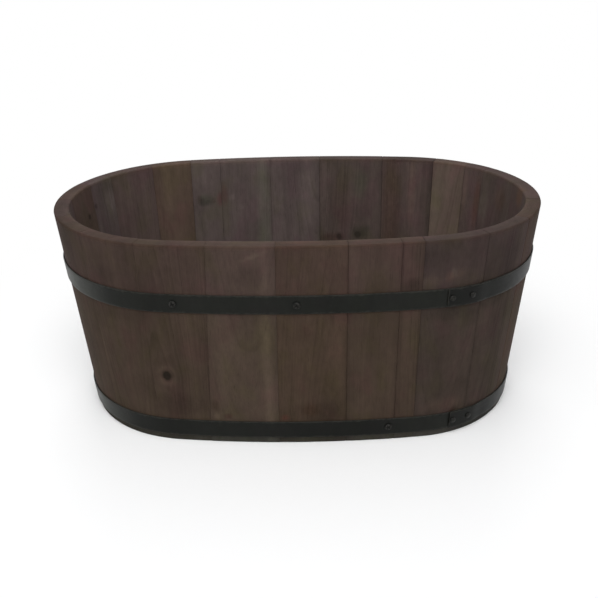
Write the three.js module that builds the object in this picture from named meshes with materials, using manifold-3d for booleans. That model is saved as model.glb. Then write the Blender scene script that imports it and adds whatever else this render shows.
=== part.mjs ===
// Oval wooden barrel planter: upright staves held by two riveted steel hoops, with a
// plank base let into a groove near the floor.
// Millimetres, +Z up, X along the oval. The origin is on the floor under the middle.

import * as THREE from 'three';
import { mergeVertices } from 'three/addons/utils/BufferGeometryUtils.js';
import Module from 'manifold-3d';

const wasm = await Module();
wasm.setup();

// ---- tub ----
const rimLength = 560;
const rimWidth = 336;
const sideBow = 8;           // half the width less the radius of the ends
const tubHeight = 248;
const lean = THREE.MathUtils.degToRad(6);   // of the walls, outwards
const staveThickness = 17.5;
const rimRound = 2.2;        // radius on both edges of the rim
const footBevel = 1.5;       // on both edges of the feet
const fitGap = 0.3;          // between pieces that touch
const chordError = 0.08;     // how far a facet may lie inside its arc

// ---- staves: widths at the rim, anticlockwise seen from above ----
const staveWidths = [
  74, 55, 23, 72, 69, 69, 68, 68, 32, 49, 72, 84,
  66, 67, 39, 57, 69, 43, 64, 64, 63, 74, 75, 71,
];
const firstSeam = -20;       // along the rim from the front middle, towards +X
// Seams that don't run square to the rim: the stave that starts there, and how far along the
// rim its foot lies from its upper end.
const seamDrifts = { 1: -3, 24: -12 };

// ---- base: planks along X, in the groove inside the staves ----
const baseHeight = 14;       // underside, above the floor
const baseThickness = 13;
const grooveDepth = 5;
const baseEdgeGap = 0.5;     // between the base's edge and the back of the groove
const baseBoards = 4;
const drainDiameter = 12;
const drainSpacing = 220;    // between the two holes of an inner board

// ---- hoops ----
const upperHoopDrop = 56;    // from the rim down to its upper edge
const upperHoopWidth = 22;
const upperLapStart = 160;   // along the rim from the front middle
const upperLapRise = 0.6;    // how far the lap's outer end stands above the band
const lowerHoopHeight = 8.6; // from the floor up to its lower edge
const lowerHoopWidth = 21.5;
const lowerLapStart = 179;
const lowerLapRise = 0.3;
const hoopThickness = 1.5;
const lapLength = 34;
const lapRamp = 22;          // run over which the outer end comes down to the wall
const riseRun = 130;         // run over which a lap's rise fades out

// Screws through the hoops: the stave each is in, and how far across the stave.
const upperScrews = { 1: 0.28, 7: 0.5, 9: 0.5, 11: 0.5, 13: 0.35, 15: 0.5, 17: 0.5, 19: 0.5, 23: 0.48 };
const lowerScrews = { 2: 0.88, 7: 0.5, 10: 0.5, 13: 0.35, 16: 0.5, 19: 0.5 };

// ---- fasteners ----
const screwHeadDiameter = 8.4;
const screwHeadHeight = 2.2;
const screwLength = 14;
const rivetHeadDiameter = 6.8;
const rivetHeadHeight = 1.8;
const shankDiameter = 3.5;
const rivetEndDistance = 5;  // from a rivet to the nearer end of the lap
const fastenerSides = 12;

// ---- colours ----
const woodTones = { umber: 0x453a32, mauve: 0x443935, olive: 0x403a31, russet: 0x493a30, pale: 0x4d4139 };
const staveTones = [
  'russet', 'umber', 'umber', 'mauve', 'olive', 'umber', 'mauve', 'olive', 'mauve', 'pale', 'umber', 'mauve',
  'pale', 'pale', 'olive', 'russet', 'mauve', 'olive', 'umber', 'mauve', 'umber', 'umber', 'umber', 'pale',
];
const paintedSteel = new THREE.MeshStandardMaterial({ color: 0x262725, roughness: 0.45, metalness: 0.3 });
const screwSteel = new THREE.MeshStandardMaterial({ color: 0x2e2f2d, roughness: 0.4, metalness: 0.6 });

const planter = new THREE.Group();

function woodMaterial(tone) {
  return new THREE.MeshStandardMaterial({ color: woodTones[tone], roughness: 0.85, metalness: 0 });
}

function addPiece(name, geometry, material) {
  const mesh = new THREE.Mesh(geometry, material);
  mesh.name = name;
  planter.add(mesh);
  return mesh;
}

const numbered = (stem, index) => `${stem}_${String(index + 1).padStart(2, '0')}`;

// ---- the oval: two side arcs and two end arcs that meet without a corner ----
// A place on it is how far along the rim it is from the front middle, and how far inwards.
const halfLength = rimLength / 2;
const halfWidth = rimWidth / 2;
const endRadius = halfWidth - sideBow;
const sideRadius = (halfLength - halfWidth) ** 2 / (2 * sideBow) + halfLength;
const sideAngle = Math.atan2(halfLength - endRadius, sideRadius - halfWidth);

function ovalArcs() {
  const quarter = Math.PI / 2;
  const endSpan = Math.PI - 2 * sideAngle;
  const arcs = [
    { x: 0, y: sideRadius - halfWidth, radius: sideRadius, from: -quarter - sideAngle, span: 2 * sideAngle },
    { x: halfLength - endRadius, y: 0, radius: endRadius, from: -quarter + sideAngle, span: endSpan },
    { x: 0, y: halfWidth - sideRadius, radius: sideRadius, from: quarter - sideAngle, span: 2 * sideAngle },
    { x: endRadius - halfLength, y: 0, radius: endRadius, from: quarter + sideAngle, span: endSpan },
  ];
  let along = -sideAngle * sideRadius;
  for (const arc of arcs) {
    arc.start = along;
    arc.length = arc.span * arc.radius;
    along += arc.length;
  }
  return arcs;
}

const arcs = ovalArcs();
const ovalStart = arcs[0].start;
const perimeter = arcs.reduce((sum, arc) => sum + arc.length, 0);

// The place on the rim, with the outward normal there and the direction along the rim.
function onOval(along) {
  const turns = Math.floor((along - ovalStart) / perimeter);
  const wrapped = along - turns * perimeter;
  const arc = arcs.find((each) => wrapped <= each.start + each.length) ?? arcs[3];
  const angle = arc.from + (wrapped - arc.start) / arc.radius;
  const normal = new THREE.Vector3(Math.cos(angle), Math.sin(angle), 0);
  const tangent = new THREE.Vector3(-normal.y, normal.x, 0);
  const point = new THREE.Vector3(arc.x, arc.y, 0).addScaledVector(normal, arc.radius);
  return { point, normal, tangent };
}

// Places from one end of a stretch to the other, as close as the chord error asks for.
function stationsBetween(from, to) {
  const cuts = [from, to];
  for (let turn = -1; turn <= 2; turn += 1) {
    for (const arc of arcs) {
      const joint = arc.start + turn * perimeter;
      if (joint > from + 1 && joint < to - 1) cuts.push(joint);
    }
  }
  cuts.sort((a, b) => a - b);
  const stations = [from];
  for (let i = 1; i < cuts.length; i += 1) {
    const middle = (cuts[i - 1] + cuts[i]) / 2;
    const turns = Math.floor((middle - ovalStart) / perimeter);
    const arc = arcs.find((each) => middle - turns * perimeter <= each.start + each.length) ?? arcs[3];
    const step = 2 * Math.acos(1 - chordError / arc.radius) * arc.radius;
    const count = Math.ceil((cuts[i] - cuts[i - 1]) / step);
    for (let k = 1; k <= count; k += 1) stations.push(cuts[i - 1] + ((cuts[i] - cuts[i - 1]) * k) / count);
  }
  return stations;
}

// ---- the wall's slant: how far its faces lie inside the rim's outline at a height ----
const wallAcross = staveThickness / Math.cos(lean);
const outerInset = (height) => (tubHeight - height) * Math.tan(lean);
const innerInset = (height) => outerInset(height) + wallAcross;

// Carries a profile of [inset, height] points along the oval. The profile runs anticlockwise
// with the inset to the right. place(along, height) may shift a point: { out, up, ahead }, and
// drift, which follows the oval.
function sweepAlongOval(profile, stations, place = () => ({})) {
  const positions = [];
  for (const along of stations) {
    for (const [inset, height] of profile) {
      const { out = 0, up = 0, ahead = 0, drift = 0 } = place(along, height);
      const { point, normal, tangent } = onOval(along + drift);
      point.addScaledVector(normal, out - inset).addScaledVector(tangent, ahead);
      positions.push(point.x, point.y, height + up);
    }
  }
  const count = profile.length;
  const last = (stations.length - 1) * count;
  const index = [];
  for (let i = 0; i < stations.length - 1; i += 1) {
    for (let j = 0; j < count; j += 1) {
      const a = i * count + j;
      const b = i * count + ((j + 1) % count);
      index.push(a, b, b + count, a, b + count, a + count);
    }
  }
  const cap = THREE.ShapeUtils.triangulateShape(profile.map(([x, y]) => new THREE.Vector2(x, y)), []);
  for (const [a, b, c] of cap) index.push(a, c, b, last + a, last + b, last + c);
  const geometry = new THREE.BufferGeometry();
  geometry.setAttribute('position', new THREE.Float32BufferAttribute(positions, 3));
  geometry.setIndex(index);
  geometry.computeVertexNormals();
  return geometry;
}

// ---- solids, for the holes ----
function toSolid(geometry) {
  const bare = geometry.clone();
  bare.deleteAttribute('normal');
  bare.deleteAttribute('uv');
  const merged = mergeVertices(bare, 1e-4);
  return new wasm.Manifold(new wasm.Mesh({
    numProp: 3,
    vertProperties: Float32Array.from(merged.attributes.position.array),
    triVerts: Uint32Array.from(merged.index.array),
  }));
}

function toGeometry(solid) {
  const mesh = solid.getMesh();
  const geometry = new THREE.BufferGeometry();
  geometry.setAttribute('position', new THREE.Float32BufferAttribute(mesh.vertProperties, 3));
  geometry.setIndex(Array.from(mesh.triVerts));
  geometry.computeVertexNormals();
  return geometry;
}

function withHoles(geometry, cutters) {
  if (cutters.length === 0) return geometry;
  return toGeometry(cutters.reduce((solid, cutter) => solid.subtract(toSolid(cutter)), toSolid(geometry)));
}

// ---- fasteners: each sits on its hoop and points into the wall ----
const outwards = (along) => {
  const { normal } = onOval(along);
  return normal.multiplyScalar(Math.cos(lean)).setZ(-Math.sin(lean));
};

// Turns something made along +Y to point out of the wall, with its Y = 0 on the spot.
function aim(geometry, along, height, standOff) {
  const { point, normal } = onOval(along);
  const spot = point.addScaledVector(normal, -outerInset(height)).setZ(height);
  spot.addScaledVector(outwards(along), standOff);
  const turn = new THREE.Quaternion().setFromUnitVectors(new THREE.Vector3(0, 1, 0), outwards(along));
  return geometry.applyQuaternion(turn).translate(spot.x, spot.y, spot.z);
}

const shankRadius = shankDiameter / 2;

// Head with a low dome over a straight shank; a tip length of 0 leaves the shank's end square.
function fastenerGeometry(headDiameter, headHeight, length, tipLength) {
  const headRadius = headDiameter / 2;
  const outline = [
    [0, -length], [shankRadius, tipLength - length], [shankRadius, 0], [headRadius, 0],
    [headRadius * 0.96, headHeight * 0.45], [headRadius * 0.66, headHeight * 0.88], [0, headHeight],
  ];
  return new THREE.LatheGeometry(outline.map(([x, y]) => new THREE.Vector2(x, y)), fastenerSides);
}

// A round hole that leaves the fit gap round a shank and past its end.
function holeGeometry(length) {
  const radius = (shankRadius + fitGap) / Math.cos(Math.PI / fastenerSides);
  const clear = length + fitGap;
  return new THREE.CylinderGeometry(radius, radius, 2 * clear, fastenerSides);
}

const seams = [firstSeam];
const widthSum = staveWidths.reduce((sum, width) => sum + width, 0);
for (const width of staveWidths) seams.push(seams[seams.length - 1] + (width * perimeter) / widthSum);

// ---- hoops: a flat band round the wall whose outer end laps over its inner end ----
const hoops = [
  {
    name: 'upper', bottom: tubHeight - upperHoopDrop - upperHoopWidth, width: upperHoopWidth,
    lapStart: upperLapStart, lapRise: upperLapRise, screws: upperScrews,
  },
  {
    name: 'lower', bottom: lowerHoopHeight, width: lowerHoopWidth,
    lapStart: lowerLapStart, lapRise: lowerLapRise, screws: lowerScrews,
  },
];
const staveHoles = staveWidths.map(() => []);

// How far the band stands off the wall and above its level, for the lap.
function hoopShift(hoop, along) {
  const past = along - hoop.lapStart;
  const ramp = THREE.MathUtils.clamp(1 - (past - lapLength - fitGap) / lapRamp, 0, 1);
  const rise = THREE.MathUtils.clamp(1 - past / riseRun, 0, 1);
  return { out: ((hoopThickness + fitGap) * ramp) / Math.cos(lean), up: hoop.lapRise * rise };
}

function buildHoop(hoop) {
  const top = hoop.bottom + hoop.width;
  const middle = hoop.bottom + hoop.width / 2;
  const inner = fitGap / Math.cos(lean);
  const outer = inner + hoopThickness / Math.cos(lean);
  const profile = [
    [outerInset(hoop.bottom) - outer, hoop.bottom],
    [outerInset(hoop.bottom) - inner, hoop.bottom],
    [outerInset(top) - inner, top],
    [outerInset(top) - outer, top],
  ];
  const lapEnd = hoop.lapStart + lapLength;
  const stations = [
    ...stationsBetween(hoop.lapStart, lapEnd + fitGap),
    ...stationsBetween(lapEnd + fitGap, lapEnd + fitGap + lapRamp).slice(1),
    ...stationsBetween(lapEnd + fitGap + lapRamp, perimeter + lapEnd).slice(1),
  ];
  const holes = [];

  Object.entries(hoop.screws).forEach(([number, share], index) => {
    const stave = Number(number) - 1;
    const along = THREE.MathUtils.lerp(seams[stave], seams[stave + 1], share);
    const standOff = hoopThickness + 2 * fitGap;
    const body = fastenerGeometry(screwHeadDiameter, screwHeadHeight, screwLength, shankDiameter);
    const hole = aim(holeGeometry(screwLength), along, middle, standOff);
    addPiece(numbered(`${hoop.name}_screw`, index), aim(body, along, middle, standOff), screwSteel);
    staveHoles[stave].push(hole);
    holes.push(hole);
  });

  [hoop.lapStart + rivetEndDistance, lapEnd - rivetEndDistance].forEach((along, index) => {
    const standOff = 2 * hoopThickness + 3 * fitGap;
    const length = standOff - fitGap;
    const height = middle + hoopShift(hoop, along).up / 2;
    const body = fastenerGeometry(rivetHeadDiameter, rivetHeadHeight, length, 0);
    addPiece(`${hoop.name}_rivet_${index + 1}`, aim(body, along, height, standOff), screwSteel);
    holes.push(aim(holeGeometry(length), along, height, standOff));
  });

  const band = sweepAlongOval(profile, stations, (along) => hoopShift(hoop, along));
  addPiece(`hoop_${hoop.name}`, withHoles(band, holes), paintedSteel);
}

// ---- base ----
const grooveMiddle = baseHeight + baseThickness / 2;
const grooveInset = innerInset(grooveMiddle) - grooveDepth;
const baseInset = grooveInset + baseEdgeGap;

// Keeps the part of a ring of points that is on the wanted side of the line y = level.
function cutRing(ring, level, above) {
  const inside = (p) => (above ? p.y >= level : p.y <= level);
  const kept = [];
  ring.forEach((p, i) => {
    const q = ring[(i + 1) % ring.length];
    if (inside(p)) kept.push(p);
    if (inside(p) !== inside(q)) kept.push(p.clone().lerp(q, (level - p.y) / (q.y - p.y)));
  });
  return kept;
}

function buildBase() {
  const stations = stationsBetween(ovalStart, ovalStart + perimeter).slice(1);
  const ring = stations.map((along) => {
    const { point, normal } = onOval(along);
    point.addScaledVector(normal, -baseInset);
    return new THREE.Vector2(point.x, point.y);
  });
  const depth = halfWidth - baseInset;
  const boardWidth = (2 * depth) / baseBoards;
  for (let i = 0; i < baseBoards; i += 1) {
    const front = -depth + i * boardWidth;
    const back = front + boardWidth;
    let outline = ring;
    if (i > 0) outline = cutRing(outline, front + fitGap / 2, true);
    if (i < baseBoards - 1) outline = cutRing(outline, back - fitGap / 2, false);
    const shape = new THREE.Shape(outline);
    if (i > 0 && i < baseBoards - 1) {
      for (const side of [-0.5, 0.5]) {
        const hole = new THREE.Path();
        hole.absarc(side * drainSpacing, (front + back) / 2, drainDiameter / 2, 0, 2 * Math.PI, true);
        shape.holes.push(hole);
      }
    }
    const extrusion = { depth: baseThickness, bevelEnabled: false, curveSegments: 16 };
    const board = new THREE.ExtrudeGeometry(shape, extrusion);
    const mesh = addPiece(`base_board_${i + 1}`, board, woodMaterial('umber'));
    mesh.position.z = baseHeight;
  }
}

// ---- staves: one profile, carried along each stave's share of the oval ----

// Rounds a corner of a profile: an arc of the given radius from one edge to the next.
function roundedCorner(before, corner, after, radius, steps) {
  const c = new THREE.Vector2(...corner);
  const u = new THREE.Vector2(...before).sub(c).normalize();
  const v = new THREE.Vector2(...after).sub(c).normalize();
  const half = Math.acos(u.dot(v)) / 2;
  const reach = radius / Math.tan(half);
  const centre = c.clone().addScaledVector(u.clone().add(v).normalize(), radius / Math.sin(half));
  const start = c.clone().addScaledVector(u, reach).sub(centre);
  const turn = (Math.PI - 2 * half) * Math.sign(u.cross(v)) * -1;
  return Array.from({ length: steps + 1 }, (_, k) => {
    const p = start.clone().rotateAround(new THREE.Vector2(), (turn * k) / steps).add(centre);
    return [p.x, p.y];
  });
}

function staveProfile() {
  const outerFoot = [outerInset(0), 0];
  const innerFoot = [innerInset(0), 0];
  const outerRim = [outerInset(tubHeight), tubHeight];
  const innerRim = [innerInset(tubHeight), tubHeight];
  const grooveTop = baseHeight + baseThickness + fitGap;
  const grooveBottom = baseHeight - fitGap;
  const round = Math.min(rimRound, 0.45 * staveThickness);
  const bevel = Math.min(footBevel, 0.45 * baseHeight);
  return [
    ...roundedCorner(outerRim, outerFoot, innerFoot, bevel, 1),
    ...roundedCorner(outerFoot, innerFoot, innerRim, bevel, 1),
    [innerInset(grooveBottom), grooveBottom],
    [grooveInset, grooveBottom],
    [grooveInset, grooveTop],
    [innerInset(grooveTop), grooveTop],
    ...roundedCorner(innerFoot, innerRim, outerRim, round, 3),
    ...roundedCorner(innerRim, outerRim, outerFoot, round, 3),
  ];
}

// How far the foot of a seam lies from its upper end. Seam 0 starts stave 1.
const seamDrift = (seam) => seamDrifts[(seam % staveWidths.length) + 1] ?? 0;

function buildStaves() {
  const profile = staveProfile();
  staveWidths.forEach((_, i) => {
    const from = seams[i];
    const to = seams[i + 1];
    const shift = (along, height) => {
      const share = (along - from) / (to - from);
      const drift = THREE.MathUtils.lerp(seamDrift(i), seamDrift(i + 1), share) * (1 - height / tubHeight);
      if (along === from) return { drift, ahead: fitGap / 2 };
      if (along === to) return { drift, ahead: -fitGap / 2 };
      return { drift };
    };
    const stave = sweepAlongOval(profile, stationsBetween(from, to), shift);
    addPiece(numbered('stave', i), withHoles(stave, staveHoles[i]), woodMaterial(staveTones[i]));
  });
}

hoops.forEach(buildHoop);
buildBase();
buildStaves();

export default planter;
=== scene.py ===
import math
import bpy
import numpy as np
from mathutils import Matrix, Vector


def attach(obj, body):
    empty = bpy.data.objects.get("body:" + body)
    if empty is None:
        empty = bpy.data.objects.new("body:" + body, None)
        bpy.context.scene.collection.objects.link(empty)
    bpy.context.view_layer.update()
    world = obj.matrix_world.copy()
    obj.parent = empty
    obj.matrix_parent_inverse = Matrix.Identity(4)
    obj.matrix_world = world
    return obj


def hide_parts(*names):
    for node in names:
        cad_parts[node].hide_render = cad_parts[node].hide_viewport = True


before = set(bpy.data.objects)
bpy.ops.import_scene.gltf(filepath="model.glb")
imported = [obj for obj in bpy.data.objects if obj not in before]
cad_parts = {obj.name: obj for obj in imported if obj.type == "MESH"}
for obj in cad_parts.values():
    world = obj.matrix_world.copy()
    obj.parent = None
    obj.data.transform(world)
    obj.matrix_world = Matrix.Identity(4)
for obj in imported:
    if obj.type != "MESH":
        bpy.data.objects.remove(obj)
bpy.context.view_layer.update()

scene = bpy.context.scene
scene.view_settings.view_transform = "Standard"
rng = np.random.default_rng(41)

# Everything is in metres, unless a comment says otherwise. A place on the tub is (along, depth,
# height): how far round the rim from the front middle, anticlockwise from above; how far in from
# the outer face; how high.
tub = {
    "rimLength": 0.560,
    "rimWidth": 0.336,
    "sideBow": 0.008,         # half the width less the radius of the ends
    "height": 0.248,
    "lean": math.radians(6),
    "thickness": 0.0175,
    "fitGap": 0.0003,
}
lean = tub["lean"]
wallAcross = tub["thickness"] / math.cos(lean)   # through the wall, measured level


def colour(red, green, blue):
    # A colour as a picture holds it, 0 to 255, turned into linear light.
    part = np.array([red, green, blue]) / 255
    part = np.where(part <= 0.04045, part / 12.92, ((part + 0.055) / 1.055) ** 2.4)
    return (*part.tolist(), 1.0)


# The oval: two side arcs and two end arcs that meet without a corner.
def makeArcs():
    # The front, right, back and left arc: middle, radius, first angle, start along the rim, length.
    halfLength, halfWidth = tub["rimLength"] / 2, tub["rimWidth"] / 2
    endRadius = halfWidth - tub["sideBow"]
    sideRadius = (halfLength - halfWidth) ** 2 / (2 * tub["sideBow"]) + halfLength
    sideAngle = math.atan2(halfLength - endRadius, sideRadius - halfWidth)
    quarter, endSpan = math.pi / 2, math.pi - 2 * sideAngle
    x, y, radius, first, span = np.array([
        [0, sideRadius - halfWidth, sideRadius, -quarter - sideAngle, 2 * sideAngle],
        [halfLength - endRadius, 0, endRadius, sideAngle - quarter, endSpan],
        [0, halfWidth - sideRadius, sideRadius, quarter - sideAngle, 2 * sideAngle],
        [endRadius - halfLength, 0, endRadius, quarter + sideAngle, endSpan],
    ]).T
    length = span * radius
    start = np.concatenate([[0], np.cumsum(length)[:-1]]) - sideAngle * sideRadius
    middle = np.column_stack([x, y])
    return {"middle": middle, "radius": radius, "first": first, "start": start, "length": length}


arcs = makeArcs()
ovalStart = arcs["start"][0]
perimeter = arcs["length"].sum()


def onOval(along):
    # The point of the rim's outline at each distance round it, and the level normal there.
    wrapped = (along - ovalStart) % perimeter + ovalStart
    arc = np.clip(np.searchsorted(arcs["start"], wrapped, side="right") - 1, 0, 3)
    radius = arcs["radius"][arc]
    angle = arcs["first"][arc] + (wrapped - arcs["start"][arc]) / radius
    normal = np.stack([np.cos(angle), np.sin(angle)], -1)
    return arcs["middle"][arc] + normal * radius[..., None], normal


def onWall(along, depth, height):
    # The rim's outline, moved in by the wall's slant at that height and by the depth.
    point, normal = onOval(along)
    inset = (tub["height"] - height) * math.tan(lean) + depth
    level = point - normal * inset[..., None]
    return np.concatenate([level, height[..., None]], -1)


# What all the meshes share.
def gridQuads(grid, closed=False):
    # The quads between neighbours on a grid of vertex numbers. Closed joins its last column to its first.
    if closed:
        grid = np.concatenate([grid, grid[:, :1]], axis=1)
    return np.stack([grid[:-1, :-1], grid[1:, :-1], grid[1:, 1:], grid[:-1, 1:]], -1).reshape(-1, 4)


turnedOver = [0, 3, 2, 1]   # a quad's corners in the order that makes it face the other way


def boxLattice(nx, ny, nz):
    # The points on the skin of a block of cells, as (i, j, k), and the quads that join them.
    shape = (nx + 1, ny + 1, nz + 1)
    i, j, k = np.indices(shape)
    onSkin = (i % nx == 0) | (j % ny == 0) | (k % nz == 0)
    number = np.full(shape, -1)
    number[onSkin] = np.arange(onSkin.sum())
    quads = [
        gridQuads(number[0])[:, ::-1], gridQuads(number[-1]),
        gridQuads(number[:, 0]), gridQuads(number[:, -1])[:, ::-1],
        gridQuads(number[:, :, 0])[:, ::-1], gridQuads(number[:, :, -1]),
    ]
    return np.argwhere(onSkin), np.concatenate(quads)


def easedEnds(start, end, roundStart, roundEnd, step, turns):
    # Positions from start to end: close together where an edge is rounded, and even between.
    first = start + roundStart * turns
    last = end - roundEnd * turns[::-1]
    middle = np.linspace(first[-1], last[0], max(2, math.ceil((last[0] - first[-1]) / step)) + 1)
    return np.concatenate([first, middle[1:-1], last])


fromCorner = 1 - np.tan(np.linspace(math.pi / 4, 0, 5))   # where a square corner meets an even arc
fromEdge = 1 - np.cos(np.linspace(0, math.pi / 2, 5))     # an even quarter arc, seen along one side


def smooth(value, low, high):
    # 0 below low, 1 above high, and an even S-curve between them.
    share = np.clip((value - low) / (high - low), 0, 1)
    return share * share * (3 - 2 * share)


def drawnIn(share, radius):
    # How far a quarter-round edge has drawn in: all its radius at share 0, nothing from share 1 on.
    return radius * (1 - np.sqrt(1 - (1 - np.clip(share, 0, 1)) ** 2))


def linkObject(name, data):
    # An object that holds this data, put into the scene.
    made = bpy.data.objects.new(name, data)
    scene.collection.objects.link(made)
    return made


def setAttribute(mesh, key, values):
    # A number at each vertex, or a vector where the values have three columns.
    kind, field = ("FLOAT_VECTOR", "vector") if values.ndim == 2 else ("FLOAT", "value")
    layer = mesh.attributes.new(key, kind, "POINT")
    layer.data.foreach_set(field, np.ascontiguousarray(values, np.float32).ravel())


sharpAbove = math.radians(40)   # an edge that turns by more than this stays crisp


def makePiece(name, points, faces, material, attributes=None, sharp=sharpAbove):
    # A smooth mesh object at the origin. faces is a list of arrays, each with faces of one size.
    mesh = bpy.data.meshes.new(name)
    mesh.vertices.add(len(points))
    mesh.vertices.foreach_set("co", np.ascontiguousarray(points, np.float32).ravel())
    corners = np.concatenate([each.ravel() for each in faces])
    sizes = np.concatenate([np.full(len(each), each.shape[1]) for each in faces])
    mesh.loops.add(len(corners))
    mesh.loops.foreach_set("vertex_index", corners.astype(np.int32))
    mesh.polygons.add(len(sizes))
    mesh.polygons.foreach_set("loop_start", (np.cumsum(sizes) - sizes).astype(np.int32))
    mesh.update(calc_edges=True)
    mesh.validate()
    for key, values in (attributes or {}).items():
        setAttribute(mesh, key, values)
    mesh.shade_smooth()
    mesh.set_sharp_from_angle(angle=sharp)
    mesh.materials.append(material)
    piece = linkObject(name, mesh)
    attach(piece, "root")
    return piece


# Shader wiring.
class Wiring:
    # Adds nodes to one tree. Each call gives back the new node's output.
    def __init__(self, tree):
        self.tree = tree

    def feed(self, node, inputs):
        # Links an input to a socket, or sets it to a value.
        for key, value in dict(inputs).items():
            if isinstance(value, bpy.types.NodeSocket):
                self.tree.links.new(value, node.inputs[key])
            else:
                node.inputs[key].default_value = value

    def node(self, kind, inputs=(), **settings):
        made = self.tree.nodes.new(kind)
        for key, value in settings.items():
            setattr(made, key, value)
        self.feed(made, inputs)
        return made

    def math(self, operation, a, b=0.0, c=0.0):
        return self.node("ShaderNodeMath", {0: a, 1: b, 2: c}, operation=operation).outputs[0]

    def vector(self, operation, a, b=(0, 0, 0)):
        made = self.node("ShaderNodeVectorMath", {0: a, 1: b}, operation=operation)
        return made.outputs["Value" if operation == "LENGTH" else "Vector"]

    def split(self, vector):
        return self.node("ShaderNodeSeparateXYZ", {0: vector}).outputs

    def join(self, x, y, z):
        return self.node("ShaderNodeCombineXYZ", {0: x, 1: y, 2: z}).outputs[0]

    def ramp(self, value, low, high, toLow=0.0, toHigh=1.0):
        inputs = {"Value": value, "From Min": low, "From Max": high, "To Min": toLow, "To Max": toHigh}
        return self.node("ShaderNodeMapRange", inputs, interpolation_type="SMOOTHSTEP").outputs[0]

    def noise(self, vector, stretch, detail=2.0, roughness=0.5, output="Fac"):
        # From 0 to 1. The stretch is how many waves there are to a metre, each way.
        stretched = self.vector("MULTIPLY", vector, stretch)
        inputs = {"Vector": stretched, "Scale": 1.0, "Detail": detail, "Roughness": roughness}
        return self.node("ShaderNodeTexNoise", inputs).outputs[output]

    def waver(self, vector, stretch, reach, detail=2.0, roughness=0.5):
        # The place moved about by noise in three directions, up to half the reach each way.
        noise = self.noise(vector, stretch, detail, roughness, "Color")
        return self.vector("MULTIPLY", self.vector("SUBTRACT", noise, (0.5, 0.5, 0.5)), reach)

    def mix(self, factor, a, b, blend="MIX"):
        inputs = {0: factor, 6: a, 7: b}
        return self.node("ShaderNodeMix", inputs, data_type="RGBA", blend_type=blend).outputs[2]

    def tint(self, factor, base, tint):
        # The base times the tint, as far as the factor says.
        return self.mix(factor, base, (*tint, 1), "MULTIPLY")

    def dim(self, base, level):
        return self.mix(1.0, base, self.join(level, level, level), "MULTIPLY")

    def bump(self, height, strength, distance):
        inputs = {"Strength": strength, "Distance": distance, "Height": height}
        return self.node("ShaderNodeBump", inputs).outputs[0]

    def group(self, group, **inputs):
        return self.node("ShaderNodeGroup", inputs, node_tree=group).outputs

    def attribute(self, name):
        return self.node("ShaderNodeAttribute", attribute_name=name).outputs

    def objectPlace(self):
        return self.node("ShaderNodeTexCoord").outputs["Object"]


def newMaterial(name):
    # A material, the wiring of its tree and its Principled shader.
    material = bpy.data.materials.new(name)
    material.use_nodes = True
    return material, Wiring(material.node_tree), material.node_tree.nodes["Principled BSDF"]


def newGroup(name, inputs, outputs):
    # An empty node group. inputs are (name, kind, default), and outputs are (name, kind).
    group = bpy.data.node_groups.new(name, "ShaderNodeTree")
    for key, kind, default in inputs:
        socket = group.interface.new_socket(name=key, in_out="INPUT", socket_type="NodeSocket" + kind)
        socket.default_value = default
    for key, kind in outputs:
        group.interface.new_socket(name=key, in_out="OUTPUT", socket_type="NodeSocket" + kind)
    wiring = Wiring(group)
    given = wiring.node("NodeGroupInput").outputs
    return group, wiring, given, lambda **results: wiring.node("NodeGroupOutput", results)


# The wood's figure. Each stretch is how many waves there are to a metre, across the fibres twice
# and then along them.
figureShape = {
    "sway": (9, 9, 2.4),          # the whole figure bends slowly
    "swayReach": (0.016, 0.016, 0),
    "wander": (80, 80, 13),       # and each ring a little
    "wanderReach": (0.0016, 0.0016, 0),
    "crowd": 0.31,                # how often the rings crowd together, per ring
    "crowdReach": 5.0,            # and by how many rings
    "lateWood": (0.25, 0.88),     # how far through a ring its wood begins to darken, and is dark
    "ringEnd": 0.9,               # where it drops back
    "fibre": (1100, 1100, 16),
    "streak": (34, 34, 1.5),
    "pore": (1500, 1500, 55),
    "poreFrom": (0.62, 0.78),
}


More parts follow.
